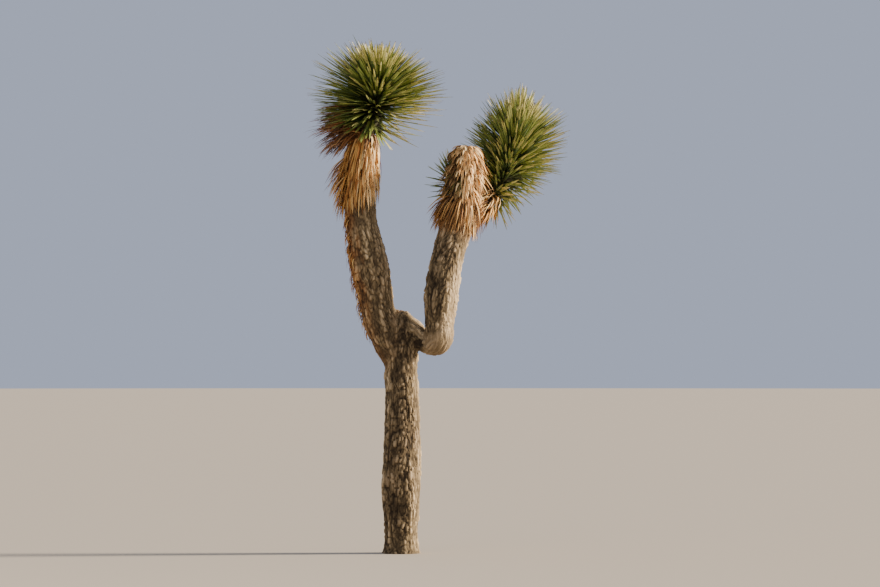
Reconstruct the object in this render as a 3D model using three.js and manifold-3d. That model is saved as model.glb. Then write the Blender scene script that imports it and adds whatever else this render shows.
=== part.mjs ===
// A joshua tree that has forked once, rooted in the ground: a trunk, two thick boughs, and at their
// tips the heads of stiff dagger leaves, each above a thatch of dead leaves that hang down its stem.
// Millimetres, +Z up. The origin is the middle of the flat cut at ground level. The picture looks
// along +Y, so +X is its right, and a turn of 0 round a limb faces right and 90 degrees the viewer.
import * as THREE from "three";
import { mergeVertices } from "three/addons/utils/BufferGeometryUtils.js";
import Module from "manifold-3d";

const wasm = await Module();
wasm.setup();

// Sizes that hold everywhere
const CLEARANCE = 0.5; // how far a solid that is cut by its neighbour is kept from it
const LEAF_CLEARANCE = 0.3; // the least gap from a leaf to a neighbouring solid
const GOLDEN_TURN = Math.PI * (3 - Math.sqrt(5)); // from each leaf to the next one up the stem
const FRAME_STEPS = 60; // frames along each centre line
const LIMB_SIDES = 18;
const STEM_SIDES = 8;
const THINNED = { below: 0.3, chance: 0.7 }; // the lowest live leaves stand thinner on the right
const BARK_LUMP = 0.035; // swells and hollows, as a share of the limb's radius
const FUSED_TOLERANCE = 0.8; // slivers smaller than this are merged where leaves are fused

const LIVE_LEAF = { width: 27, thickness: 6, widestAt: 0.34, droop: 0.03 };
const DEAD_LEAF = { width: 27, thickness: 6, widestAt: 0.22 };

const BARK = { color: 0x5b4f42, roughness: 0.95, metalness: 0 };
const GREEN = { color: 0x6f7d3a, roughness: 0.6, metalness: 0 };
const STRAW = { color: 0xa9814f, roughness: 0.9, metalness: 0 };

// Limbs and stems, each as a few stations: x, y, z of the centre line and the radius there.
const TRUNK = [
  [0, 0, 0, 123],
  [0, 0, 95, 106],
  [4, 0, 420, 121],
  [6, 0, 760, 119],
  [4, 0, 1100, 107],
  [2, -2, 1320, 108],
  [4, -4, 1440, 99],
  [8, -5, 1514, 74],
  [12, -5, 1552, 32],
];
const LEFT_BOUGH = [
  [-24, 0, 1230, 88],
  [-82, -4, 1370, 104],
  [-138, -12, 1510, 109],
  [-168, -26, 1660, 113],
  [-196, -40, 1820, 124],
  [-226, -52, 1980, 116],
  [-250, -60, 2105, 104],
  [-256, -62, 2180, 94],
];
const RIGHT_LIMB = [
  [0, -6, 1450, 64],
  [60, -12, 1426, 80],
  [122, -24, 1370, 67],
  [184, -58, 1338, 76],
  [236, -114, 1362, 96],
  [246, -128, 1448, 101],
];
const RIGHT_BOUGH = [
  [246, -128, 1420, 88],
  [248, -132, 1540, 103],
  [264, -122, 1700, 109],
  [292, -99, 1860, 103],
  [332, -65, 2000, 108],
  [354, -46, 2075, 108],
  [364, -34, 2135, 98],
];

// Stems inside the masses of leaves
const LEFT_THATCH_STEM = [
  [-256, -62, 2165, 76],
  [-259, -63, 2320, 87],
  [-246, -64, 2520, 90],
  [-222, -62, 2680, 72],
];
const LEFT_HEAD_STEM = [
  [-224, -62, 2664, 52],
  [-170, -60, 2830, 60],
  [-142, -58, 3000, 24],
];
const COLLAR_STEM = [
  [364, -34, 2120, 80],
  [380, -28, 2200, 88],
  [400, -22, 2290, 78],
];
const DEAD_HEAD_STEM = [
  [398, -22, 2272, 66],
  [408, -34, 2400, 72],
  [418, -46, 2525, 70],
  [422, -52, 2600, 36],
];
const SIDE_BRANCH_STEM = [
  [400, 0, 2170, 44],
  [466, 76, 2205, 58],
  [546, 174, 2258, 62],
];
const RIGHT_HEAD_STEM = [
  [534, 162, 2246, 46],
  [618, 240, 2340, 56],
  [684, 296, 2468, 60],
  [726, 326, 2590, 52],
  [744, 336, 2692, 22],
];
const REAR_HEAD_STEM = [
  [374, 10, 2210, 34],
  [346, 62, 2290, 42],
  [328, 88, 2370, 42],
  [320, 98, 2430, 20],
];

// Masses of live leaves: the stretch of stem that bears them, the lean of the lowest and topmost from
// the stem's own direction, and lengths from the lowest to the topmost. A crowding below 1 brings the
// leaves closer together towards the tip. The compass changes their lengths by where they point as seen
// from the front, evenly from the right over the top to the left and on under the head. The lowest on
// the right are lifted, by up to that many degrees.
const LEFT_HEAD = {
  leaves: 150, from: 0.02, to: 0.97, crowding: 0.5, tilts: [132, 6],
  lengths: [335, 450, 488, 462, 285], lifted: 40, seed: 11,
  compass: [1.12, 0.88, 0.82, 0.98, 1.02, 1.02, 0.98, 0.78, 0.72, 0.7, 0.8, 0.96],
};
const RIGHT_HEAD = {
  leaves: 144, from: 0.04, to: 0.97, crowding: 0.75, tilts: [116, 6],
  lengths: [255, 338, 415, 398, 345], lifted: 14, seed: 23,
  compass: [0.94, 1.1, 1.0, 1.02, 1.0, 0.86, 0.82, 0.85, 0.9, 0.95, 0.92, 0.82],
};
const REAR_HEAD = {
  leaves: 44, from: 0.3, to: 0.97, crowding: 0.75, tilts: [100, 8],
  lengths: [190, 205, 180], lifted: 0, seed: 37,
  compass: [1],
};

// Masses of dead leaves, which hang from a stretch of stem. Their lengths and how far they stand out
// from it, in degrees, are for its foot and its top. A tuft has a few more that arch out and up.
const LEFT_THATCH = {
  leaves: 72, from: 0.21, to: 0.99, lengths: [200, 290], lift: 25, flares: [5, 5], seed: 44,
  tufts: [
    { leaves: 22, turn: 184, spread: 54, height: 0.95, rise: 0.05, flare: 38, out: 84, up: 78 },
    { leaves: 12, turn: 188, spread: 40, height: 0.56, rise: 0.08, flare: 20, out: 14, up: 0 },
  ],
};
const COLLAR_THATCH = {
  leaves: 66, from: 0.2, to: 0.98, lengths: [185, 262], lift: 36, flares: [8, 22], seed: 53,
  tufts: [{ leaves: 8, turn: 182, spread: 40, height: 0.8, rise: 0.12, flare: 20, out: 16, up: 10 }],
};
const DEAD_HEAD_THATCH = {
  leaves: 50, from: 0.14, to: 0.96, lengths: [225, 225], lift: 18, flares: [19, 5], seed: 67,
  tufts: [
    { leaves: 7, turn: 2, spread: 34, height: 0.5, rise: 0.2, flare: 26, out: 10, up: 12 },
    { leaves: 7, turn: 182, spread: 34, height: 0.4, rise: 0.2, flare: 24, out: 10, up: 0 },
  ],
};
const SIDE_BRANCH_THATCH = {
  leaves: 42, from: 0.4, to: 0.97, lengths: [240, 240], lift: 16, flares: [14, 20], seed: 79, tufts: [],
};

// Small tools

function mix(a, b, share) {
  return a + (b - a) * share;
}

function radians(degrees) {
  return (degrees * Math.PI) / 180;
}

// The same run of numbers from 0 to 1 for the same seed.
function seeded(seed) {
  let state = seed >>> 0;
  return () => {
    state = (state + 0x6d2b79f5) >>> 0;
    let value = Math.imul(state ^ (state >>> 15), 1 | state);
    value = (value + Math.imul(value ^ (value >>> 7), 61 | value)) ^ value;
    return ((value ^ (value >>> 14)) >>> 0) / 4294967296;
  };
}

// A closed geometry with each corner moved to where the map puts it.
function reshaped(geometry, map) {
  geometry.deleteAttribute("normal");
  geometry.deleteAttribute("uv");
  const merged = mergeVertices(geometry, 1e-4);
  const corners = merged.getAttribute("position");
  for (let i = 0; i < corners.count; i++) {
    const moved = map(new THREE.Vector3().fromBufferAttribute(corners, i));
    corners.setXYZ(i, moved.x, moved.y, moved.z);
  }
  return merged;
}

function solidOf(geometry) {
  return new wasm.Manifold(
    new wasm.Mesh({
      numProp: 3,
      vertProperties: geometry.getAttribute("position").array,
      triVerts: new Uint32Array(geometry.getIndex().array),
    }),
  );
}

// The largest body of a solid, so that a scrap that a cut leaves loose is dropped.
function largestOf(solid) {
  const bodies = solid.decompose();
  return bodies.reduce((best, body) => (body.volume() > best.volume() ? body : best));
}

// Limbs

// A centre line through the stations, with its radius and a frame that doesn't twist.
class Limb {
  constructor(stations) {
    this.centre = new THREE.CatmullRomCurve3(
      stations.map(([x, y, z]) => new THREE.Vector3(x, y, z)),
    );
    this.girth = new THREE.CatmullRomCurve3(
      stations.map(([, , , radius]) => new THREE.Vector3(radius, 0, 0)),
      false,
      "catmullrom",
      0.5,
    );
    this.frames = [];
    let side = new THREE.Vector3(1, 0, 0);
    for (let i = 0; i <= FRAME_STEPS; i++) {
      const along = this.centre.getTangent(i / FRAME_STEPS);
      side = side.clone().addScaledVector(along, -side.dot(along)).normalize();
      this.frames.push({ along, side, front: side.clone().cross(along) });
    }
  }

  // The point, radius and frame at a share of the way along.
  at(share) {
    const frame = this.frames[Math.round(share * FRAME_STEPS)];
    return {
      point: this.centre.getPoint(share),
      radius: this.girth.getPoint(share).x,
      ...frame,
    };
  }
}

function lumpAt(turn, height) {
  return (
    Math.sin(2 * turn + height / 190) * 0.6 +
    Math.sin(3 * turn - height / 130 + 1.3) * 0.4
  );
}

// One tapering limb, closed at both ends. grow makes it that much fatter and longer, as the shape
// that a neighbour is cut clear of.
function limbGeometry(limb, sides, rings, { grow = 0, lump = 0, flatFoot = false } = {}) {
  return reshaped(new THREE.CylinderGeometry(1, 1, 1, sides, rings), (corner) => {
    const share = corner.y + 0.5;
    const { point, radius, along, side, front } = limb.at(share);
    const turn = Math.atan2(corner.z, corner.x);
    const reach = radius * (1 + lump * lumpAt(turn, point.z)) + grow;
    const moved = point
      .clone()
      .addScaledVector(side, corner.x * reach)
      .addScaledVector(front, corner.z * reach);
    if (share === 0) moved.addScaledVector(along, -grow);
    if (share === 1) moved.addScaledVector(along, grow);
    if (flatFoot && share === 0) moved.z = -grow;
    return moved;
  });
}

// Leaves

// A dagger leaf of 8 faces: a point at its root and at its tip, and its widest place between.
function dagger(root, middle, tip, across, width, thickness) {
  const along = tip.clone().sub(middle).normalize();
  const side = across.clone().addScaledVector(along, -across.dot(along)).normalize();
  const face = side.clone().cross(along);
  return solidOf(
    reshaped(new THREE.OctahedronGeometry(1), (corner) => {
      if (corner.y > 0.5) return tip;
      if (corner.y < -0.5) return root;
      return middle
        .clone()
        .addScaledVector(side, (corner.x * width) / 2)
        .addScaledVector(face, (corner.z * thickness) / 2);
    }),
  );
}

// The way out from a stem at a turn, and the way round it there.
function raysAt({ side, front }, turn) {
  const out = side.clone().multiplyScalar(Math.cos(turn)).addScaledVector(front, Math.sin(turn));
  const round = side.clone().multiplyScalar(-Math.sin(turn)).addScaledVector(front, Math.cos(turn));
  return { out, round };
}

// A value on the way through evenly spaced ones.
function through(values, share) {
  const place = share * (values.length - 1);
  const low = Math.min(Math.floor(place), values.length - 2);
  return mix(values[low], values[low + 1], place - low);
}

// How a leaf's length changes with where it points as seen from the front.
function compassAt(values, way) {
  const place = ((Math.atan2(way.z, way.x) / (2 * Math.PI) + 1) % 1) * values.length;
  const low = Math.floor(place) % values.length;
  const value = mix(values[low], values[(low + 1) % values.length], place - Math.floor(place));
  return mix(1, value, way.x ** 2 + way.z ** 2);
}

// Live leaves stand out all round and over the stem's tip, evenly spread: each next leaf up the stem
// is a golden turn further round and leans less from the stem.
function liveLeaves(stem, head) {
  const random = seeded(head.seed);
  const [lowest, topmost] = head.tilts.map((tilt) => Math.cos(radians(tilt)));
  const made = [];
  for (let i = 0; i < head.leaves; i++) {
    const share = (i + 0.5) / head.leaves;
    const place = stem.at(mix(head.from, head.to, share ** head.crowding));
    const turn = i * GOLDEN_TURN + (random() - 0.5) * 0.3;
    if (share < THINNED.below && random() < THINNED.chance * Math.cos(turn)) continue;
    const { out, round } = raysAt(place, turn);
    const lift = radians(head.lifted) * Math.max(0, Math.cos(turn)) * (1 - share);
    const tilt = Math.acos(mix(lowest, topmost, share)) + (random() - 0.5) * 0.24 - lift;
    const way = place.along
      .clone()
      .multiplyScalar(Math.cos(tilt))
      .addScaledVector(out, Math.sin(tilt));
    const length =
      through(head.lengths, share) * compassAt(head.compass, way) * mix(0.88, 1, random());
    const tip = place.point.clone().addScaledVector(way, length);
    tip.z -= LIVE_LEAF.droop * length * Math.sin(tilt);
    made.push({
      root: place.point,
      middle: place.point.clone().addScaledVector(way, length * LIVE_LEAF.widestAt),
      tip,
      across: round,
      shape: LIVE_LEAF,
    });
  }
  return made;
}

// A dead leaf leaves the stem outwards, bends over near its root and hangs down along the stem.
function deadLeaf(stem, { height, turn, length, out, up, flare }) {
  const place = stem.at(height);
  const rays = raysAt(place, turn);
  const bend = length * DEAD_LEAF.widestAt;
  const middle = place.point
    .clone()
    .addScaledVector(rays.out, place.radius + out)
    .addScaledVector(place.along, up - bend * 0.25);
  const tip = middle
    .clone()
    .addScaledVector(rays.out, Math.sin(radians(flare)) * (length - bend))
    .addScaledVector(place.along, -Math.cos(radians(flare)) * (length - bend));
  const root = place.point.clone().addScaledVector(rays.out, place.radius * 0.3);
  return { root, middle, tip, across: rays.round, shape: DEAD_LEAF };
}

function deadLeaves(stem, thatch) {
  const random = seeded(thatch.seed);
  const around = (value, spread) => value + (random() - 0.5) * 2 * spread;
  const made = [];
  for (let i = 0; i < thatch.leaves; i++) {
    const share = (i + 0.5) / thatch.leaves;
    const height = mix(thatch.from, thatch.to, share);
    const turn = i * GOLDEN_TURN + around(0, 0.2);
    const length = mix(...thatch.lengths, share) * mix(0.8, 1, random());
    const flare = around(mix(...thatch.flares, share) + 1, 4.5);
    made.push(deadLeaf(stem, { height, turn, length, flare, out: around(thatch.lift + 5, 5), up: 0 }));
  }
  for (const tuft of thatch.tufts) {
    for (let i = 0; i < tuft.leaves; i++) {
      const height = Math.min(1, around(tuft.height, tuft.rise));
      const turn = radians(around(tuft.turn, tuft.spread));
      const length = mix(...thatch.lengths, height) * mix(0.8, 1, random());
      const arch = mix(0.6, 1.3, random());
      const out = thatch.lift + tuft.out * arch;
      const flare = around(tuft.flare, 14);
      made.push(deadLeaf(stem, { height, turn, length, flare, out, up: tuft.up * arch }));
    }
  }
  return made;
}

// The tree's solids by name. Each later one is cut clear of the earlier ones that carry it.
const solids = new Map();

function addSolid(name, limb, geometryOf, finish, carriers) {
  const whole = solidOf(geometryOf(0));
  const cut = carriers.reduce((left, carrier) => left.subtract(solids.get(carrier).grown), whole);
  solids.set(name, { solid: largestOf(cut), grown: solidOf(geometryOf(CLEARANCE)), limb, finish });
}

function addBark(name, stations, rings, carriers = []) {
  const limb = new Limb(stations);
  const flatFoot = carriers.length === 0;
  const geometryOf = (grow) =>
    limbGeometry(limb, LIMB_SIDES, rings, { grow, lump: BARK_LUMP, flatFoot });
  addSolid(name, limb, geometryOf, BARK, carriers);
}

function addStem(name, stations, rings, carriers, finish) {
  const limb = new Limb(stations);
  addSolid(name, limb, (grow) => limbGeometry(limb, STEM_SIDES, rings, { grow }), finish, carriers);
}

// Fuses the leaves to a stem, without those that would touch another solid.
function addLeaves(name, leavesOf, sizes) {
  const mass = solids.get(name);
  const others = [...solids.values()].filter((other) => other !== mass);
  const leaves = leavesOf(mass.limb, sizes)
    .map(({ root, middle, tip, across, shape }) =>
      dagger(root, middle, tip, across, shape.width, shape.thickness),
    )
    .filter((leaf) => !others.some(({ solid }) => leaf.minGap(solid, 1) < LEAF_CLEARANCE));
  const fused = wasm.Manifold.union([mass.solid, ...leaves]).simplify(FUSED_TOLERANCE);
  mass.solid = largestOf(fused);
}

// The tree

addBark("trunk", TRUNK, 16);
addBark("left_bough", LEFT_BOUGH, 12, ["trunk"]);
addBark("right_limb", RIGHT_LIMB, 9, ["trunk", "left_bough"]);
addBark("right_bough", RIGHT_BOUGH, 10, ["right_limb"]);

addStem("left_thatch", LEFT_THATCH_STEM, 5, ["left_bough"], STRAW);
addStem("left_head", LEFT_HEAD_STEM, 4, ["left_thatch"], GREEN);
addStem("collar_thatch", COLLAR_STEM, 3, ["right_bough"], STRAW);
addStem("dead_head", DEAD_HEAD_STEM, 4, ["collar_thatch"], STRAW);
addStem("side_branch_thatch", SIDE_BRANCH_STEM, 3, ["collar_thatch", "dead_head"], STRAW);
addStem("right_head", RIGHT_HEAD_STEM, 5, ["side_branch_thatch"], GREEN);
addStem("rear_head", REAR_HEAD_STEM, 4, ["collar_thatch", "dead_head"], GREEN);

addLeaves("left_thatch", deadLeaves, LEFT_THATCH);
addLeaves("left_head", liveLeaves, LEFT_HEAD);
addLeaves("dead_head", deadLeaves, DEAD_HEAD_THATCH);
addLeaves("side_branch_thatch", deadLeaves, SIDE_BRANCH_THATCH);
addLeaves("collar_thatch", deadLeaves, COLLAR_THATCH);
addLeaves("right_head", liveLeaves, RIGHT_HEAD);
addLeaves("rear_head", liveLeaves, REAR_HEAD);

function meshOf(name, { solid, finish }) {
  const { vertProperties, triVerts } = solid.getMesh();
  const geometry = new THREE.BufferGeometry();
  geometry.setAttribute("position", new THREE.BufferAttribute(vertProperties, 3));
  geometry.setIndex(new THREE.BufferAttribute(triVerts, 1));
  geometry.computeVertexNormals();
  const mesh = new THREE.Mesh(geometry, new THREE.MeshStandardMaterial(finish));
  mesh.name = name;
  return mesh;
}

const tree = new THREE.Group();
for (const [name, part] of solids) tree.add(meshOf(name, part));

export default tree;
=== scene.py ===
"""A joshua tree that has forked once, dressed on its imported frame: bark in relief on the trunk and
boughs, round heads of stiff live leaves, and thatches of dead ones. Metres, +Z up, seen along +Y."""

import itertools
import math

import bmesh
import bpy
import numpy as np
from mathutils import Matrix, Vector


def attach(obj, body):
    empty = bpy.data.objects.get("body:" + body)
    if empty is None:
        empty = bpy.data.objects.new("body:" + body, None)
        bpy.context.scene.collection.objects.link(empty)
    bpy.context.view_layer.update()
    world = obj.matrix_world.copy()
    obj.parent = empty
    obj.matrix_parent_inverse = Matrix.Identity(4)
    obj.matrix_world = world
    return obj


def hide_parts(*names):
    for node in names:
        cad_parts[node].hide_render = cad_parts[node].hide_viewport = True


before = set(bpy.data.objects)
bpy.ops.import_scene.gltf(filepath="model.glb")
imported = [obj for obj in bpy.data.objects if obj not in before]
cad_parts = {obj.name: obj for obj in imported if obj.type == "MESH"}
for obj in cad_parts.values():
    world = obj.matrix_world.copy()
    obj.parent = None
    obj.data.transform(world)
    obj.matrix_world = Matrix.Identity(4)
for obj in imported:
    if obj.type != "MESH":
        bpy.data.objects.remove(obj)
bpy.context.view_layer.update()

# Limbs and stems as the solids have them: x, y, z of stations on the centre line, and the radius
# there, all in millimetres.
TRUNK = [
    (0, 0, 0, 123),
    (0, 0, 95, 106),
    (4, 0, 420, 121),
    (6, 0, 760, 119),
    (4, 0, 1100, 107),
    (2, -2, 1320, 108),
    (4, -4, 1440, 99),
    (8, -5, 1514, 74),
    (12, -5, 1552, 32),
]
LEFT_BOUGH = [
    (-24, 0, 1230, 88),
    (-82, -4, 1370, 104),
    (-138, -12, 1510, 109),
    (-168, -26, 1660, 113),
    (-196, -40, 1820, 124),
    (-226, -52, 1980, 116),
    (-250, -60, 2105, 104),
    (-256, -62, 2180, 94),
]
RIGHT_LIMB = [
    (0, -6, 1450, 64),
    (60, -12, 1426, 80),
    (122, -24, 1370, 67),
    (184, -58, 1338, 76),
    (236, -114, 1362, 96),
    (246, -128, 1448, 101),
]
RIGHT_BOUGH = [
    (246, -128, 1420, 88),
    (248, -132, 1540, 103),
    (264, -122, 1700, 109),
    (292, -99, 1860, 103),
    (332, -65, 2000, 108),
    (354, -46, 2075, 108),
    (364, -34, 2135, 98),
]
LEFT_THATCH_STEM = [
    (-256, -62, 2165, 76),
    (-259, -63, 2320, 87),
    (-246, -64, 2520, 90),
    (-222, -62, 2680, 72),
]
LEFT_HEAD_STEM = [
    (-224, -62, 2664, 52),
    (-170, -60, 2830, 60),
    (-142, -58, 3000, 24),
]
COLLAR_STEM = [
    (364, -34, 2120, 80),
    (380, -28, 2200, 88),
    (400, -22, 2290, 78),
]
DEAD_HEAD_STEM = [
    (398, -22, 2272, 66),
    (408, -34, 2400, 72),
    (418, -46, 2525, 70),
    (422, -52, 2600, 36),
]
SIDE_BRANCH_STEM = [
    (400, 0, 2170, 44),
    (466, 76, 2205, 58),
    (546, 174, 2258, 62),
]
RIGHT_HEAD_STEM = [
    (534, 162, 2246, 46),
    (618, 240, 2340, 56),
    (684, 296, 2468, 60),
    (726, 326, 2590, 52),
    (744, 336, 2692, 22),
]
REAR_HEAD_STEM = [
    (374, 10, 2210, 34),
    (346, 62, 2290, 42),
    (328, 88, 2370, 42),
    (320, 98, 2430, 20),
]


# Colours and materials

PLATE_COLOURS = ((0.0, "2c241a"), (0.25, "5c503c"), (0.5, "87785c"), (0.75, "a59479"), (1.0, "cdbb9a"))
PATCH_COLOURS = ((0.35, "b9aea2"), (0.65, "fff6ea"))
STRAW_BARK_COLOURS = ((0.05, "2a1b10"), (0.4, "714723"), (0.9, "ae8250"))
STEM_PAINTED_SHADE = "1c150e"
BARK_STRETCH = (1.0, 1.0, 0.28)  # the bark's grain and patches are longer than they are wide
GRAIN_SHARE = 0.55  # how much the fine grain changes a place's colour


def linear(code):
    """A colour code such as 8a6b42 as the linear colour that a shader takes."""
    shares = [int(code[i : i + 2], 16) / 255 for i in (0, 2, 4)]
    lit = [s / 12.92 if s <= 0.04045 else ((s + 0.055) / 1.055) ** 2.4 for s in shares]
    return (*lit, 1.0)


def new_material(name):
    """A new material, with its node tree and the shader in it."""
    material = bpy.data.materials.new(name)
    material.use_nodes = True
    tree = material.node_tree
    return material, tree, tree.nodes["Principled BSDF"]


def feed(tree, socket, value):
    """Gives a socket a value, or joins another node's output to it."""
    if isinstance(value, bpy.types.NodeSocket):
        tree.links.new(value, socket)
    else:
        socket.default_value = value


def feed_all(tree, made, **inputs):
    """Feeds a node's inputs by name, where an underscore stands for a space."""
    for name, value in inputs.items():
        feed(tree, made.inputs[name.replace("_", " ")], value)
    return made


def node(tree, kind, **inputs):
    return feed_all(tree, tree.nodes.new(kind), **inputs)


def plain(name, code, roughness):
    """A material of one leaf tone; the tones are dealt out leaf by leaf."""
    material, tree, shader = new_material(name)
    feed_all(tree, shader, Base_Color=linear(code), Roughness=roughness)
    return material


def kept_value(tree, name):
    """What a mesh keeps under this name for each of its corners."""
    made = tree.nodes.new("ShaderNodeAttribute")
    made.attribute_name = name
    return made.outputs["Fac"]


def object_places(tree):
    return tree.nodes.new("ShaderNodeTexCoord").outputs["Object"]


def noise(tree, places, **inputs):
    return node(tree, "ShaderNodeTexNoise", Vector=places, **inputs).outputs["Fac"]


def computed(tree, operation, *values):
    made = tree.nodes.new("ShaderNodeMath")
    made.operation = operation
    for socket, value in zip(made.inputs, values):
        feed(tree, socket, value)
    return made.outputs["Value"]


def ramp(tree, share, stops):
    """The colour at a share from 0 to 1, through (place, colour code) stops."""
    made = node(tree, "ShaderNodeValToRGB", Fac=share)
    bands = made.color_ramp.elements
    while len(bands) < len(stops):
        bands.new(0.5)
    for band, (place, code) in zip(bands, stops):
        band.position = place
        band.color = linear(code)
    return made.outputs["Color"]


def blended(tree, blend, share, below, above):
    made = tree.nodes.new("ShaderNodeMix")
    made.data_type = "RGBA"
    made.blend_type = blend
    return feed_all(tree, made, Factor=share, A=below, B=above).outputs["Result"]


def bark_material():
    """Grey-brown plates with dark furrows between them, tan where old leaf bases still cling."""
    material, tree, shader = new_material("bark")
    stretched = node(tree, "ShaderNodeMapping", Vector=object_places(tree), Scale=BARK_STRETCH)
    places = stretched.outputs["Vector"]
    grain = noise(tree, places, Scale=150.0, Detail=6.0, Roughness=0.65)
    # The kept relief holds painted sunlight and painted shade as well as the plates' height
    lowered = computed(tree, "SUBTRACT", kept_value(tree, "relief"), GRAIN_SHARE / 2)
    height = computed(tree, "MULTIPLY_ADD", grain, GRAIN_SHARE, lowered)
    patches = ramp(tree, noise(tree, places, Scale=7.0, Detail=3.0), PATCH_COLOURS)
    plates = blended(tree, "MULTIPLY", 1.0, ramp(tree, height, PLATE_COLOURS), patches)
    straw = ramp(tree, height, STRAW_BARK_COLOURS)
    colour = blended(tree, "MIX", kept_value(tree, "straw"), plates, straw)
    dull = node(tree, "ShaderNodeMapRange", Value=height, To_Min=0.98, To_Max=0.78)
    bump = node(tree, "ShaderNodeBump", Height=grain, Strength=0.7, Distance=0.003)
    feed_all(tree, shader, Base_Color=colour, Roughness=dull.outputs["Result"])
    feed_all(tree, shader, Specular_IOR_Level=0.25, Normal=bump.outputs["Normal"])
    return material


def stem_material(name, code):
    """The inside of a mass of leaves: the stem's colour with near-black spots of painted shade."""
    material, tree, shader = new_material(name)
    spots = noise(tree, object_places(tree), Scale=45.0, Detail=5.0)
    colour = ramp(tree, spots, ((0.3, STEM_PAINTED_SHADE), (0.75, code)))
    feed_all(tree, shader, Base_Color=colour, Roughness=0.9)
    return material


# Painted shade of a head's dark core, on the lower part of each live leaf
CORE_PAINTED_SHADE_TONES = [
    plain("live leaf shaded green", "39461f", 0.5),
    plain("live leaf shaded olive", "4a5126", 0.5),
]
LIVE_TONES = [
    plain("live leaf olive", "6f7a34", 0.42),
    plain("live leaf yellow green", "8a9040", 0.42),
    plain("live leaf deep green", "4f6030", 0.45),
    plain("live leaf grey green", "66764a", 0.48),
]
OLIVE, _, DEEP_GREEN, _ = LIVE_TONES
LIVE_TIP_TONES = [
    plain("live leaf upper olive", "8d9448", 0.45),
    plain("live leaf upper straw", "b5ad68", 0.48),
    plain("live leaf upper green", "6f7d3c", 0.45),
    plain("live leaf upper pale", "a3a365", 0.5),
]
UPPER_OLIVE, UPPER_STRAW, _, _ = LIVE_TIP_TONES
# A dull olive leaf base, darker than a real one, as painted shade of the head's core
LEAF_BASE = plain("leaf base", "6d6a3e", 0.6)
# Cream tips are painted sunlight, on top leaves and on low ones that point right
PAINTED_SUNLIT_TIP = plain("live leaf painted sunlit tip", "d0c68e", 0.5)
SPINE = plain("leaf point brown", "6a4a2e", 0.5)
STRAW_TONES = [
    plain("dead leaf straw", "cb9a52", 0.8),
    plain("dead leaf tan", "b17b37", 0.8),
    plain("dead leaf orange brown", "935c24", 0.85),
    plain("dead leaf pale", "d6af6c", 0.75),
    plain("dead leaf brown", "6c421b", 0.85),
]
# Painted sunlight: paler tones for dead leaves on the sunny side
PAINTED_SUNLIT_TONES = [
    plain("dead leaf painted sunlit straw", "d2ab6c", 0.78),
    plain("dead leaf painted sunlit tan", "bd904d", 0.8),
    plain("dead leaf painted sunlit cream", "dfc189", 0.78),
]
COLLAR_TONES = [
    plain("collar leaf tan", "a6783f", 0.8),
    plain("collar leaf brown", "6e4a22", 0.85),
    plain("collar leaf orange brown", "8a5b29", 0.85),
    plain("collar leaf straw", "c49656", 0.8),
    plain("collar leaf dark", "523518", 0.85),
]
BLEACHED_TONES = [
    plain("old leaf beige", "cda56c", 0.8),
    plain("old leaf golden", "c39459", 0.8),
    plain("old leaf grey tan", "a07d4e", 0.85),
    plain("old leaf cream", "dcbb85", 0.78),
    plain("old leaf brown", "5a4023", 0.9),
]
# Painted sunlight at its brightest, for dead leaves facing the sun
PAINTED_BRIGHT_SUN_TONES = [
    plain("old leaf painted bright sun straw", "e6bc7e", 0.78),
    plain("old leaf painted bright sun tan", "d9a562", 0.8),
    plain("old leaf painted bright sun cream", "efcd95", 0.78),
]
# Painted shade for the left side of the dead head
SHADED_TONES = [
    plain("old leaf painted shade tan", "8c6a3f", 0.85),
    plain("old leaf painted shade brown", "664824", 0.88),
    plain("old leaf painted shade dark", "3a2916", 0.9),
    plain("old leaf painted shade olive", "5a5526", 0.88),
]
NEW_DEAD_TONES = [
    plain("newly dead leaf umber", "6a4326", 0.7),
    plain("newly dead leaf rust", "84532b", 0.7),
    plain("newly dead leaf dark", "48311f", 0.75),
    plain("newly dead leaf tan", "a17647", 0.75),
]


# Geometry


def mix(a, b, share):
    return a + (b - a) * share


def smoothstep(low, high, values):
    t = np.clip((values - low) / (high - low), 0, 1)
    return t * t * (3 - 2 * t)


def through(values, share):
    """A value on the way through evenly spaced ones."""
    return np.interp(share * (len(values) - 1), range(len(values)), values)


def unit(rows):
    return rows / np.linalg.norm(rows, axis=-1, keepdims=True)


def centripetal_slopes(p0, p1, p2, p3):
    """Slopes at p1 and p2 that keep a curve from looping where stations stand unevenly far apart."""
    d0, d1, d2 = (
        np.linalg.norm(b - a, axis=1, keepdims=True) ** 0.5 for a, b in ((p0, p1), (p1, p2), (p2, p3))
    )
    start = ((p1 - p0) / d0 - (p2 - p0) / (d0 + d1) + (p2 - p1) / d1) * d1
    finish = ((p2 - p1) / d1 - (p3 - p1) / (d1 + d2) + (p3 - p2) / d2) * d1
    return start, finish


def spline(rows, shares, centripetal):
    """A Catmull-Rom curve through rows, at shares from 0 to 1, each span taking an equal share."""
    rows = np.asarray(rows, dtype=float)
    before = 2 * rows[0] - rows[1]
    after = 2 * rows[-1] - rows[-2]
    ends = np.vstack([before, rows, after])
    place = np.asarray(shares) * (len(rows) - 1)
    span = np.clip(place.astype(int), 0, len(rows) - 2)
    t = (place - span)[:, None]
    p0, p1, p2, p3 = (ends[span + k] for k in range(4))
    if centripetal:
        start, finish = centripetal_slopes(p0, p1, p2, p3)
    else:
        start, finish = (p2 - p0) / 2, (p3 - p1) / 2
    bend = -3 * p1 + 3 * p2 - 2 * start - finish
    twist = 2 * p1 - 2 * p2 + start + finish
    return p1 + start * t + bend * t**2 + twist * t**3


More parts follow.
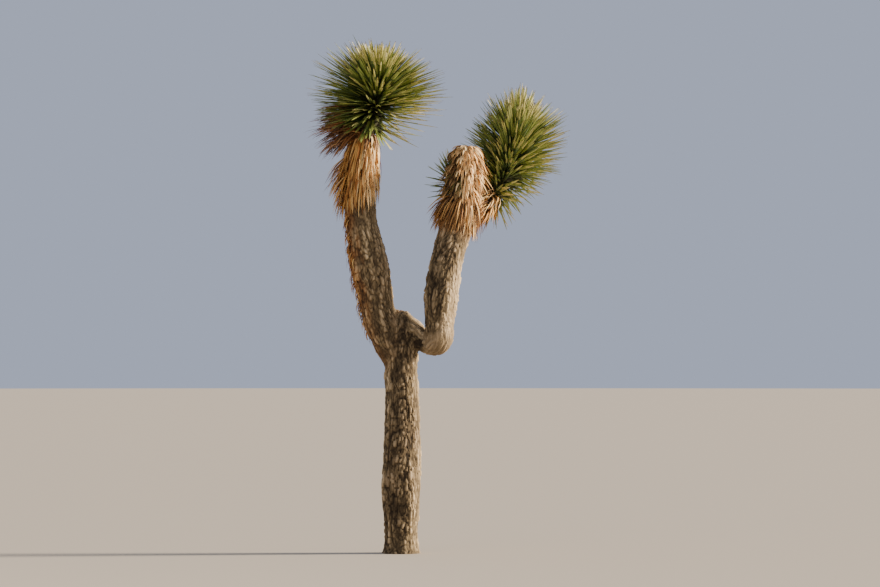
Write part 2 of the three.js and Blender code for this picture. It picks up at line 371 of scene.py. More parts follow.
class Limb:
    """A centre line through stations, with its radius and a frame that doesn't twist."""

    STEPS = 240
    AT_ONCE = 20000  # places measured together, which keeps the memory small

    def __init__(self, stations):
        stations = np.array(stations, dtype=float) / 1000
        shares = np.linspace(0, 1, self.STEPS + 1)
        self.points = spline(stations[:, :3], shares, True)
        self.radii = spline(stations[:, 3:], shares, False)[:, 0]
        self.alongs = unit(np.gradient(self.points, axis=0))
        side = np.array([1.0, 0.0, 0.0])
        sides = []
        for along in self.alongs:
            side = side - along * side.dot(along)
            side = side / np.linalg.norm(side)
            sides.append(side)
        self.sides = np.array(sides)
        self.fronts = np.cross(self.sides, self.alongs)
        steps = np.linalg.norm(np.diff(self.points, axis=0), axis=1)
        self.reaches = np.concatenate([[0], np.cumsum(steps)])

    def row(self, values, shares):
        place = np.asarray(shares, dtype=float) * self.STEPS
        low = np.clip(place.astype(int), 0, self.STEPS - 1)
        part = place - low
        if values.ndim > 1:
            part = part[..., None]
        return values[low] * (1 - part) + values[low + 1] * part

    def at(self, shares):
        """Points, radii and frames at shares of the way along."""
        kept = (self.points, self.radii, self.alongs, self.sides, self.fronts)
        return tuple(self.row(values, shares) for values in kept)

    def nearest(self, places):
        """For each place the step of the centre line that is nearest to it."""
        squares = (self.points**2).sum(1)
        found = []
        for start in range(0, len(places), self.AT_ONCE):
            some = places[start : start + self.AT_ONCE]
            found.append((squares - 2 * some @ self.points.T).argmin(1))
        return np.concatenate(found)

    def around(self, places):
        """How far places lie beyond the limb's surface, how far along it and at which turn round it."""
        step = self.nearest(places)
        away = places - self.points[step]
        away = away - self.alongs[step] * (away * self.alongs[step]).sum(1, keepdims=True)
        turn = np.arctan2((away * self.fronts[step]).sum(1), (away * self.sides[step]).sum(1))
        beyond = np.linalg.norm(places - self.points[step], axis=1) - self.radii[step]
        return beyond, self.reaches[step], turn


def lump(turn, height):
    """Swells and hollows round a limb and up it, as the solids have them."""
    height = height * 1000
    return np.sin(2 * turn + height / 190) * 0.6 + np.sin(3 * turn - height / 130 + 1.3) * 0.4


def tube(limb, sides, rings, outwards=0.0, lumps=0.0):
    """Corners and faces of a closed tube round a limb."""
    points, radii, _, across, front = limb.at(np.linspace(0, 1, rings + 1))
    turns = np.arange(sides) * 2 * math.pi / sides
    rays = across[:, None] * np.cos(turns)[None, :, None] + front[:, None] * np.sin(turns)[None, :, None]
    reach = radii[:, None] * (1 + lumps * lump(turns[None], points[:, 2:3])) + outwards
    corners = (points[:, None] + rays * reach[..., None]).reshape(-1, 3)
    faces = []
    for ring in range(rings):
        for k in range(sides):
            a = ring * sides + k
            b = ring * sides + (k + 1) % sides
            faces.append((a, a + sides, b + sides, b))
    faces.append(tuple(range(sides)))
    faces.append(tuple(reversed(range(rings * sides, (rings + 1) * sides))))
    return corners, faces


def placed(name, data, place=(0, 0, 0)):
    """A new object in the scene."""
    made = bpy.data.objects.new(name, data)
    made.location = place
    bpy.context.scene.collection.objects.link(made)
    return made


def piece(name, corners, faces, materials, tones=None, smooth=False):
    """A new mesh object at the origin; tones gives each face's place in materials."""
    mesh = bpy.data.meshes.new(name)
    mesh.from_pydata(np.asarray(corners).tolist(), [], faces)
    for material in materials:
        mesh.materials.append(material)
    if tones is not None:
        mesh.polygons.foreach_set("material_index", np.asarray(tones, dtype=np.int32))
    mesh.polygons.foreach_set("use_smooth", np.full(len(mesh.polygons), smooth))
    mesh.update()
    return placed(name, mesh)


# Noise

CELL_PRIMES = (374761393, 668265263, 2246822519)
SEED_PRIME = 3266489917
MIXERS = (2654435761, 1540483477)
NUMBER_STEP = 97
FAR = 9.0  # further than the heart of any plate near by, in cells


def hashed(cells, seed):
    """Three numbers from 0 to 1 for each whole-numbered cell, the same for the same seed."""
    mixed = cells.astype(np.uint32)
    a, b, c = (mixed[:, axis] * np.uint32(prime) for axis, prime in enumerate(CELL_PRIMES))
    code = a + b + c + np.uint32(seed * SEED_PRIME % 2**32)
    first, second = (np.uint32(mixer) for mixer in MIXERS)
    numbers = []
    for turn in range(3):
        code = (code ^ (code >> np.uint32(15))) * first
        code = (code ^ (code >> np.uint32(13))) * second + np.uint32(turn * NUMBER_STEP)
        numbers.append((code >> np.uint32(8)).astype(float) / 2**24)
    return np.stack(numbers, 1)


def plates_at(places, seed):
    """How far inside its plate each place is, from 0 in a furrow, and a number of that plate's own.
    Each unit cell holds the heart of one plate."""
    base = np.floor(places).astype(np.int64)
    first = np.full(len(places), FAR)
    second = np.full(len(places), FAR)
    own = np.zeros(len(places))
    for offset in itertools.product((-1, 0, 1), repeat=3):
        cell = base + np.array(offset)
        chance = hashed(cell, seed)
        away = (np.abs(cell + 0.1 + 0.8 * chance - places) ** 3).sum(1) ** (1 / 3)
        nearer = away < first
        second = np.where(nearer, first, np.minimum(second, away))
        own = np.where(nearer, chance[:, 2], own)
        first = np.where(nearer, away, first)
    return second - first, own


def noise_at(places, seed):
    """Smooth noise from 0 to 1."""
    base = np.floor(places).astype(np.int64)
    part = places - base
    part = part * part * (3 - 2 * part)
    total = np.zeros(len(places))
    for offset in itertools.product((0, 1), repeat=3):
        weight = np.prod(np.where(np.array(offset), part, 1 - part), axis=1)
        total += weight * hashed(base + np.array(offset), seed)[:, 0]
    return total


def swing(places, seed):
    """Smooth noise from -0.5 to 0.5."""
    return noise_at(places, seed) - 0.5


# Bark

# The boughs' bark runs on for a way under the thatches
UNDER_LEFT_THATCH = [
    (-250, -60, 2105, 104),
    (-258, -62, 2200, 101),
    (-260, -63, 2300, 96),
    (-256, -64, 2390, 86),
]
UNDER_COLLAR = [
    (354, -46, 2075, 108),
    (370, -34, 2150, 102),
    (384, -28, 2225, 92),
]
BARK_LIMBS = [
    Limb(stations)
    for stations in (TRUNK, LEFT_BOUGH, RIGHT_LIMB, RIGHT_BOUGH, UNDER_LEFT_THATCH, UNDER_COLLAR)
]
ON_TRUNK, ON_LEFT_BOUGH, ON_RIGHT_LIMB, ON_RIGHT_BOUGH, BY_LEFT_THATCH, BY_COLLAR = range(6)
BARK_LUMP = 0.035  # swells and hollows of a limb, as a share of its radius
LIMB_SIDES = 72
LIMB_RINGS = 120
UNDERGROUND = -0.03  # the trunk's skin starts here, and is cut off at the ground
GROUND_CUT = 0.0003  # the height of that cut
VOXEL = 0.006  # the width of the bark net's faces
PLATE = (0.023, 0.052)  # width and height of a plate of bark
RIDGE = (0.042, 0.21)  # width and height of the ridges that the plates stand on
RING_RADIUS = 0.11  # the plates are laid out on a limb of this radius
PLATE_DEPTH = 0.013  # from a furrow's bottom to the top of a thick plate
SURFACE = 0.55  # the height between furrow and plate that lies on the limb's own surface
HOLLOW_AND_PAINTED_SHADE_DEPTH = 0.6  # of the hollow under the right limb, a dent whose darker colour is painted shade, on the same scale
PAINTED_LIGHT_AND_BOUGH_TONE = 0.52  # what paler bark adds to that height before it gets its colour: painted sunlight and the boughs' own paler tone
PAINTED_LIGHT_AND_BOUGH_EVENNESS = 0.3  # how much less that paler bark's colour follows its relief
SUN_SIDE_PAINTED_LIGHT = 0.3  # how much painted sunlight pales the bark on the side of the sun, next to the elbow's
LEFT_BOUGH_PALER = 0.14
RIGHT_BOUGH_PALER = 0.16
FOOT_PAINTED_LIGHT = 0.8

# Stretches along a limb, in metres, over which its bark changes
JOINT_STRETCH = (0.0, 0.07)
TRUNK_STRAW = (1.1, 1.4)
LEFT_BOUGH_STRAW = (0.1, 0.6)
RIGHT_BOUGH_STRAW = (0.55, 0.75)
RIGHT_BOUGH_PALING = (0.15, 0.5)
ELBOW_START = (0.18, 0.25)
HOLLOW_AND_PAINTED_SHADE_START = (0.06, 0.13)
FOOT_END = (0.3, 0.5)

# The corner inside the elbow's bend, which gets no painted sunlight and stays dark as painted shade
INNER_LEFT = (0.12, 0.16)
INNER_RIGHT = (0.2, 0.26)
INNER_BOTTOM = (1.385, 1.43)

# How far from a second limb's surface a corner lies that is well inside a joint, or outside it
JOINT_GAPS = (0.012, 0.06)
LIMB_BLEND = 0.010  # how far the bark of two limbs reaches into each other

# Seeds of the noises
RIDGE_SEED, WIDE_FURROW_SEED, NARROW_FURROW_SEED = 71, 73, 79
PLATE_SEED, PLATE_BEND_SEED, PLATE_SHIFT_SEED, PLATE_GRAIN_SEED = 17, 3, 8, 51
JOINT_SEED, STRAW_SEED, PAINTED_LIGHT_SEED, STEM_SEED = 9, 61, 67, 5


def joined_limbs():
    """One closed skin round the trunk and boughs, as an even net of small faces."""
    corners, faces = [], []
    for k, limb in enumerate(BARK_LIMBS):
        some, more = tube(limb, LIMB_SIDES, LIMB_RINGS, lumps=BARK_LUMP)
        if k == ON_TRUNK:
            some[:LIMB_SIDES, 2] = UNDERGROUND
        start = sum(len(c) for c in corners)
        corners.append(some)
        faces += [tuple(start + corner for corner in face) for face in more]
    made = piece("bark", np.vstack(corners), faces, [])
    remesh = made.modifiers.new("skin", "REMESH")
    remesh.mode = "VOXEL"
    remesh.voxel_size = VOXEL
    skin = bpy.data.meshes.new_from_object(made.evaluated_get(bpy.context.evaluated_depsgraph_get()))
    made.modifiers.clear()
    made.data = skin
    return made


def rows_of(mesh, name):
    """The corners' places or normals, a row for each corner."""
    flat = np.empty(len(mesh.vertices) * 3)
    mesh.vertices.foreach_get(name, flat)
    return flat.reshape(-1, 3)


def set_corners(mesh, corners):
    mesh.vertices.foreach_set("co", corners.ravel())
    mesh.update()


def eased(mesh, corners, weights, rounds):
    """Corners evened out with their neighbours, as far as their weights say."""
    pairs = np.empty(len(mesh.edges) * 2, dtype=np.int64)
    mesh.edges.foreach_get("vertices", pairs)
    a, b = pairs.reshape(-1, 2).T
    count = np.bincount(pairs, minlength=len(corners))[:, None]
    for _ in range(rounds):
        total = np.zeros_like(corners)
        for axis in range(3):
            total[:, axis] = np.bincount(a, corners[b, axis], len(corners))
            total[:, axis] += np.bincount(b, corners[a, axis], len(corners))
        corners = corners + (total / count - corners) * weights[:, None]
    return corners


def beyond_limbs(corners):
    """How far corners lie beyond each limb's surface, a column for each limb."""
    return np.stack([limb.around(corners)[0] for limb in BARK_LIMBS], 1)


def smoothed(mesh):
    """The net's corners, evened out, most of all where two limbs meet."""
    corners = rows_of(mesh, "co")
    second = np.sort(beyond_limbs(corners), axis=1)[:, 1]
    joint = 1 - smoothstep(*JOINT_GAPS, second)
    corners = eased(mesh, corners, 0.5 * joint, 60)
    return eased(mesh, corners, np.full(len(corners), 0.5), 3)


def plates_and_ridges(ring, reach, seed):
    """The bark's height at places round and along a limb, and the same places counted in plates."""
    ridges = np.column_stack([ring / RIDGE[0], reach / RIDGE[1] + seed * 11.7])
    ridges[:, :2] += swing(ridges * (0.8, 0.8, 2.4), RIDGE_SEED)[:, None] * 0.7
    wide = np.abs(swing(ridges, WIDE_FURROW_SEED))
    narrow = np.abs(swing(ridges * 1.7 + 3.1, NARROW_FURROW_SEED)) + 0.03
    furrow = np.minimum(wide, narrow)
    places = np.column_stack([ring / PLATE[0], reach / PLATE[1] + seed * 37.3])
    places[:, :2] += swing(places * (0.6, 0.6, 0.9) + 5.2, PLATE_BEND_SEED)[:, None] * 1.1
    places[:, 2] += swing(places * (1.2, 1.2, 0.4), PLATE_SHIFT_SEED) * 1.3
    inside, own = plates_at(places, PLATE_SEED + seed)
    height = smoothstep(0.0, 0.3, inside) * (0.3 + 0.4 * own) + 0.1
    height *= 0.35 + 0.65 * smoothstep(0.0, 0.13, furrow)
    height += 0.3 * smoothstep(0.05, 0.3, furrow)
    height += swing(places * 4.2, PLATE_GRAIN_SEED) * 0.3
    return height, places


def straw_on(k, reach, turn, places):
    """How much straw of old leaf bases there is: down the left flank on the left, and all round at
    the top of the right bough."""
    spread = {
        ON_TRUNK: 0.4 * smoothstep(*TRUNK_STRAW, reach),
        ON_LEFT_BOUGH: 0.4 + 0.6 * smoothstep(*LEFT_BOUGH_STRAW, reach),
        ON_RIGHT_LIMB: 0.0,
        ON_RIGHT_BOUGH: 0.6 * smoothstep(*RIGHT_BOUGH_STRAW, reach),
        BY_LEFT_THATCH: 1.0,
        BY_COLLAR: 0.6,
    }[k]
    if k not in (ON_TRUNK, ON_LEFT_BOUGH, BY_LEFT_THATCH):
        return spread
    ragged = swing(places * 0.7, STRAW_SEED) * 0.8
    return spread * smoothstep(-0.1, 0.8, ragged - np.cos(turn - 0.25))


def painted_sunlight_and_bough_tone(k, reach, turn):
    """How much paler the bark is painted on the side of the sun, as painted sunlight, and all round on
    the boughs, as their own paler tone.
    """
    paler = SUN_SIDE_PAINTED_LIGHT * smoothstep(0.6, 0.95, np.cos(turn - 0.3))
    if k == ON_LEFT_BOUGH:
        paler += LEFT_BOUGH_PALER
    if k == ON_RIGHT_BOUGH:
        paler += RIGHT_BOUGH_PALER * smoothstep(*RIGHT_BOUGH_PALING, reach)
    return paler


def painted_light_on_limb(corners, reach, turn, ragged):
    """How pale the right limb's bark is painted, as painted sunlight over its top and all round at
    the elbow except in the corner inside the bend, which stays dark as painted shade, and how deep
    the hollow under it goes, a dent whose darker colour is painted shade."""
    upper = smoothstep(-0.6, 0.1, np.cos(turn) + ragged)
    elbow = smoothstep(*ELBOW_START, reach + ragged * 0.05)
    x, _, z = corners.T
    inner = smoothstep(*INNER_LEFT, x) * (1 - smoothstep(*INNER_RIGHT, x + ragged * 0.06))
    inner *= smoothstep(*INNER_BOTTOM, z + ragged * 0.03)
    pale = np.maximum(upper, elbow) * (1 - inner)
    under = 1 - smoothstep(-0.5, 0.1, np.cos(turn) + ragged)
    return pale, HOLLOW_AND_PAINTED_SHADE_DEPTH * under * (1 - elbow) * smoothstep(*HOLLOW_AND_PAINTED_SHADE_START, reach)


def painted_light_on_foot(reach, turn, ragged):
    """How pale the foot of the right bough is painted, as painted sunlight on a side to the front and
    right that narrows with height."""
    edge = np.interp(reach, (0, 0.05, 0.17, 0.32), (-0.2, 0.0, 0.24, 0.42))
    front_right = smoothstep(edge - 0.15, edge + 0.15, np.cos(turn) + ragged * 0.7)
    front_right *= smoothstep(-0.7, 0.1, np.sin(turn))
    return FOOT_PAINTED_LIGHT * front_right * (1 - smoothstep(*FOOT_END, reach))


def bark_on(k, corners, at_joints):
    """The bark's height, darker as painted shade in the hollow, its paleness, which is painted sunlight
    and the boughs' own paler tone, and its straw, at corners that lie on one limb. Its plates give way
    at its ends to the bark of the joints, which is the same for all limbs."""
    limb = BARK_LIMBS[k]
    _, reach, turn = limb.around(corners)
    ring = np.stack([np.cos(turn) * RING_RADIUS, np.sin(turn) * RING_RADIUS], 1)
    height, places = plates_and_ridges(ring, reach, k)
    own_share = smoothstep(*JOINT_STRETCH, reach)
    own_share *= smoothstep(*JOINT_STRETCH, limb.reaches[-1] - reach)
    height = mix(at_joints, height, own_share)
    pale = painted_sunlight_and_bough_tone(k, reach, turn)
    ragged = swing(places * 0.5, PAINTED_LIGHT_SEED) * 0.6
    if k == ON_RIGHT_LIMB:
        painted_light, hollow_and_painted_shade = painted_light_on_limb(corners, reach, turn, ragged)
        pale += painted_light
        height -= hollow_and_painted_shade
    if k == ON_RIGHT_BOUGH:
        pale += painted_light_on_foot(reach, turn, ragged)
    return height, pale, straw_on(k, reach, turn, places)


def cut_at_ground(mesh):
    """Takes off what lies under the ground and closes the cut with a flat face."""
    cut = bmesh.new()
    cut.from_mesh(mesh)
    everything = cut.verts[:] + cut.edges[:] + cut.faces[:]
    low = bmesh.ops.bisect_plane(
        cut, geom=everything, plane_co=(0, 0, GROUND_CUT), plane_no=(0, 0, 1), clear_inner=True
    )
    rim = [e for e in low["geom_cut"] if isinstance(e, bmesh.types.BMEdge)]
    bmesh.ops.holes_fill(cut, edges=rim, sides=0)
    cut.to_mesh(mesh)
    cut.free()


def make_bark():
    """The bark as one mesh in relief, which keeps its height, with painted sunlight and painted shade
    worked into it, and its straw for its material.
    """
    made = joined_limbs()
    mesh = made.data
    corners = smoothed(mesh)
    set_corners(mesh, corners)
    normals = rows_of(mesh, "normal")

    weights = np.exp(-beyond_limbs(corners) / LIMB_BLEND)
    weights /= weights.sum(1, keepdims=True)
    at_joints, _ = plates_and_ridges(corners[:, :2], corners[:, 2], JOINT_SEED)
    relief, pale, straw = np.zeros((3, len(corners)))
    for k in range(len(BARK_LIMBS)):
        near = weights[:, k] > 0.01
        for total, own in zip((relief, pale, straw), bark_on(k, corners[near], at_joints[near])):
            total[near] += weights[near, k] * own
    set_corners(mesh, corners + normals * ((relief - SURFACE) * PLATE_DEPTH)[:, None])
    # pale holds painted sunlight on the sun's side, the elbow and the bough's foot, and the boughs' own
    # paler tone
    pale = np.minimum(pale, 1)
    shade = relief * (1 - PAINTED_LIGHT_AND_BOUGH_EVENNESS * pale) + PAINTED_LIGHT_AND_BOUGH_TONE * pale
    for name, values in (("relief", shade), ("straw", straw)):
        kept = mesh.attributes.new(name, "FLOAT", "POINT")
        kept.data.foreach_set("value", np.clip(values, 0, 1).astype(np.float32))

    cut_at_ground(mesh)
    mesh.polygons.foreach_set("use_smooth", np.full(len(mesh.polygons), True))
    mesh.materials.append(bark_material())
    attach(made, "root")
    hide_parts("trunk", "left_bough", "right_limb", "right_bough")


# Leaves

# Shares of the way along a leaf, and its width there as a share of the leaf's own
LIVE_PROFILE = ((0.0, 1.35), (0.1, 0.95), (0.38, 1.0), (0.66, 0.88), (0.85, 0.58), (0.96, 0.24))
DEAD_PROFILE = ((0.0, 1.5), (0.12, 1.1), (0.4, 0.9), (0.68, 0.62), (0.88, 0.3))
LIVE_THICKNESS = 0.0045
DEAD_THICKNESS = 0.0025
CHANNEL = 0.25  # how far a leaf's upper side is hollowed, as a share of its thickness
POINT = 0.98  # a share of the way along that lies in the leaf's point
GOLDEN_TURN = math.pi * (3 - math.sqrt(5))


class Blades:
    """Leaves gathered for one piece. Each is a keeled blade of a few faces along a bent path."""

    def __init__(self, profile):
        self.shares = np.array([share for share, _ in profile])
        self.widths = np.array([width for _, width in profile])
        self.corners = []
        self.faces = []
        self.tones = []
        self.materials = []
        self.count = 0

    def place_of(self, material):
        if material not in self.materials:
            self.materials.append(material)
        return self.materials.index(material)

    def add(self, root, middle, tip, across, width, thickness, tone_of, twist):
        """tone_of gives the material for a share of the way along the leaf."""
        shares = np.append(self.shares, 1.0)[:, None]
        path = root * (1 - shares) ** 2 + middle * 2 * shares * (1 - shares) + tip * shares**2
        along = unit(np.gradient(path, axis=0))
        flat = unit(across - along * (along @ across)[:, None])
        deep = np.cross(flat, along)
        side = (flat * np.cos(twist * shares) + deep * np.sin(twist * shares))[:-1]
        face = (deep * np.cos(twist * shares) - flat * np.sin(twist * shares))[:-1]
        half = (self.widths * width / 2)[:, None]
        keel = (np.minimum(self.widths, 1.0) * thickness)[:, None]
        edge = path[:-1]
        rows = (edge + side * half, edge - face * keel * CHANNEL, edge - side * half, edge - face * keel)
        self.corners += [np.stack(rows, 1).reshape(-1, 3), path[-1:]]
        start = self.count
        last = start + (len(edge) - 1) * 4
        for k in range(len(edge) - 1):
            tone = self.place_of(tone_of((self.shares[k] + self.shares[k + 1]) / 2))
            for c in range(4):
                a = start + k * 4 + c
                b = start + k * 4 + (c + 1) % 4
                self.faces.append((a, b, b + 4, a + 4))
                self.tones.append(tone)
        for c in range(4):
            self.faces.append((last + c, last + (c + 1) % 4, last + 4))
            self.tones.append(self.place_of(tone_of(POINT)))
        self.faces.append((start + 3, start + 2, start + 1, start))
        self.tones.append(self.place_of(tone_of(0.0)))
        self.count = last + 5

    def made(self, name, replaced, slot):
        made = piece(name, np.vstack(self.corners), self.faces, self.materials, self.tones)
        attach(made, "root")
        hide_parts(replaced)


STEMS = {
    "left_thatch": Limb(LEFT_THATCH_STEM),
    "left_head": Limb(LEFT_HEAD_STEM),
    "collar_thatch": Limb(COLLAR_STEM),
    "dead_head": Limb(DEAD_HEAD_STEM),
    "side_branch_thatch": Limb(SIDE_BRANCH_STEM),
    "right_head": Limb(RIGHT_HEAD_STEM),
    "rear_head": Limb(REAR_HEAD_STEM),
    "left_bough": BARK_LIMBS[ON_LEFT_BOUGH],
}
# How far beyond its stem each thatch is packed: live leaves of the heads keep out of that
PACKED = dict.fromkeys(("left_thatch", "collar_thatch", "dead_head", "side_branch_thatch"), 0.03)
GAP = 0.006  # between a leaf and the limbs that it passes by


def others(own):
    """The limbs and stems that a leaf on this one has to pass by, and the gap that a live one keeps."""
    limbs = [(limb, GAP) for limb in BARK_LIMBS if limb is not STEMS[own]]
    stems = [
        (stem, PACKED.get(name, 0.0))
        for name, stem in STEMS.items()
        if name != own and stem not in BARK_LIMBS
    ]
    return limbs + stems


def blocked(own, places):
    """True if a live leaf through these places would pass through a limb or another mass's core."""
    return any((limb.around(places)[0] < gap).any() for limb, gap in others(own))


def kept_out(own, places):
    """Places moved out of the limbs and of the other cores, to a gap from them."""
    moved = places.copy()
    for limb, _ in others(own):
        step = limb.nearest(moved)
        away = moved - limb.points[step]
        away = away - limb.alongs[step] * (away * limb.alongs[step]).sum(1, keepdims=True)
        length = np.linalg.norm(away, axis=1, keepdims=True)
        inside = (limb.around(moved)[0] < GAP) & (step > 0) & (step < limb.STEPS)
        target = limb.points[step] + away / np.maximum(length, 1e-6) * (limb.radii[step] + GAP)[:, None]
        moved[inside] = target[inside]
    return moved


def ray_and_across(side, front, turn):
    """The way out of a stem at a turn round it, and the way across that."""
    ray = side * math.cos(turn) + front * math.sin(turn)
    across = front * math.cos(turn) - side * math.sin(turn)
    return ray, across


def one_of(random, tones):
    return tones[random.integers(len(tones))]


# Live leaves


def compass_at(values, way):
    """How a leaf's length changes with where it points, as seen from the front. The values are evenly
    spaced, from the right over the top to the left and on under the head."""
    place = math.atan2(way[2], way[0]) / (2 * math.pi) % 1 * len(values)
    value = np.interp(place, range(len(values) + 1), [*values, values[0]])
    return mix(1, value, way[0] ** 2 + way[2] ** 2)


def by_painted_sun(random, tones, chances, changes, way):
    """One of the tones, whose chances change with how far the leaf points to the sunny right: paler ones
    there as painted sunlight, deeper ones to the left as painted shade.
    """
    changed = np.array(chances) * np.exp(np.array(changes) * way[0])
    return tones[random.choice(len(tones), p=changed / changed.sum())]


def live_tones(random, share, way, painted_sun_tips_from, painted_light_and_shade_below):
    """The tones along a live leaf, from its base, darker as painted shade of the head's core, to its
    brown point. Some leaves of the top end in cream as painted sunlight, and some of the lowest are
    paler as painted sunlight where they point right and deeper as painted shade elsewhere."""
    deep = one_of(random, CORE_PAINTED_SHADE_TONES)
    lower = by_painted_sun(random, LIVE_TONES, (0.36, 0.2, 0.28, 0.16), (0.2, 1.1, -1.2, -0.2), way)
    upper = by_painted_sun(random, LIVE_TIP_TONES, (0.3, 0.18, 0.36, 0.16), (0, 1.0, -0.9, 0.8), way)
    end = upper
    if share > painted_sun_tips_from and random.random() < 0.6:
        upper, end = UPPER_STRAW, PAINTED_SUNLIT_TIP
    if share < painted_light_and_shade_below and random.random() < 0.75:
        if way[0] > 0.3:
            lower, upper, end = UPPER_OLIVE, UPPER_STRAW, PAINTED_SUNLIT_TIP
        elif share < 0.2:
            lower, upper, end = DEEP_GREEN, OLIVE, UPPER_OLIVE
    bands = ((0.07, LEAF_BASE), (0.3, deep), (0.6, lower), (0.8, upper), (0.97, end))
    return lambda place: next((tone for limit, tone in bands if place < limit), SPINE)


def live_head(
    name, seed, leaves, stretch, crowding, tilts, lengths, compass, lifted, width, painted_sun_tips_from, painted_light_and_shade_below
):
    """Live leaves all round a stretch of stem and over its tip, each a golden turn on from the last
    one and leaning less from the stem. A crowding below 1 brings them closer together towards the
    tip. The low leaves on the right are lifted. Lengths are in millimetres, tilts in degrees."""
    random = np.random.default_rng(seed)
    stem = STEMS[name]
    lowest, topmost = (math.cos(math.radians(tilt)) for tilt in tilts)
    blades = Blades(LIVE_PROFILE)
    for i in range(leaves):
        share = (i + 0.5) / leaves
        point, radius, along, side, front = stem.at(mix(*stretch, share**crowding))
        turn = i * GOLDEN_TURN + random.uniform(-0.3, 0.3)
        out, across = ray_and_across(side, front, turn)
        tilt = math.acos(mix(lowest, topmost, share)) + random.normal(0, 0.12)
        tilt -= lifted * max(0.0, math.cos(turn)) * (1 - share)
        way = along * math.cos(tilt) + out * math.sin(tilt)
        uneven = swing((way * 3.1 + 7.7)[None], seed)[0]
        length = through(lengths, share) / 1000 * (1.0 - 0.33 * random.random() + 0.2 * uneven)
        length *= compass_at(compass, way)
        root = point + way * radius * 0.55
        tip = point + way * length
        tip[2] -= 0.03 * length * math.sin(tilt)
        bow = out * math.cos(tilt) - along * math.sin(tilt)
        middle = (root + tip) / 2 - bow * length * random.uniform(-0.01, 0.045)
        thinned = share < 0.3 and random.random() < 0.7 * math.cos(turn)
        if thinned or blocked(name, np.linspace(root, tip, 9)[2:]):
            continue
        tone_of = live_tones(random, share, way, painted_sun_tips_from, painted_light_and_shade_below)
        own_width = width * random.uniform(0.82, 1.15)
        twist = random.uniform(-0.35, 0.35)
        blades.add(root, middle, tip, across, own_width, LIVE_THICKNESS, tone_of, twist)
    blades.made(name + "_leaves", name, "live_leaves")


# Dead leaves

SUN_TURN = 0.8  # where the painted sunlight falls on a thatch, in radians from the right towards the front
KNOB_SUN_TURN = 0.95  # the same for the dead head
TONE_CHANCES = (0.32, 0.25, 0.17, 0.14, 0.12)
BEND = 0.22  # the share of a dead leaf up to where it bends over


def turned_from(turn, middle):
    """The angle between two turns, from 0 to half a turn."""
    return abs((turn - middle + math.pi) % (2 * math.pi) - math.pi)


def sided(random, tones, turn, tone):
    """The tone of a dead leaf, changed by its side: browner behind on the right, a painted darkening
    against the sun there, pale as painted sunlight on the sunny side, and painted shade on the left of
    the dead head. That last rule and the dead head's own painted sunlight hold for the whole list of its
    tones; a shorter list cut from it follows the rule of the thatches."""
    if tones is NEW_DEAD_TONES:
        return tone
    chance = random.random()
    # Painted darkening against the sun: browner tones for leaves behind on the right
    behind_right = math.cos(turn) > -0.3 and math.sin(turn) < 0.1
    if behind_right and chance < 0.75 - 3 * math.sin(turn):
        return one_of(random, COLLAR_TONES[:4])
    if tones is BLEACHED_TONES:
        if chance < 0.2 - 0.85 * math.cos(turn):
            return one_of(random, SHADED_TONES)
        sunny = math.cos(min(1.3 * turned_from(turn, KNOB_SUN_TURN), math.pi))
        return one_of(random, PAINTED_BRIGHT_SUN_TONES) if chance > 1 - sunny else tone
    sunny = 1.15 * math.cos(min(1.7 * turned_from(turn, SUN_TURN), math.pi))
    if tones is COLLAR_TONES:
        sunny -= 0.5
    if chance < 0.85 * sunny - 0.25:
        return one_of(random, PAINTED_BRIGHT_SUN_TONES)
    return one_of(random, PAINTED_SUNLIT_TONES) if chance < sunny else tone


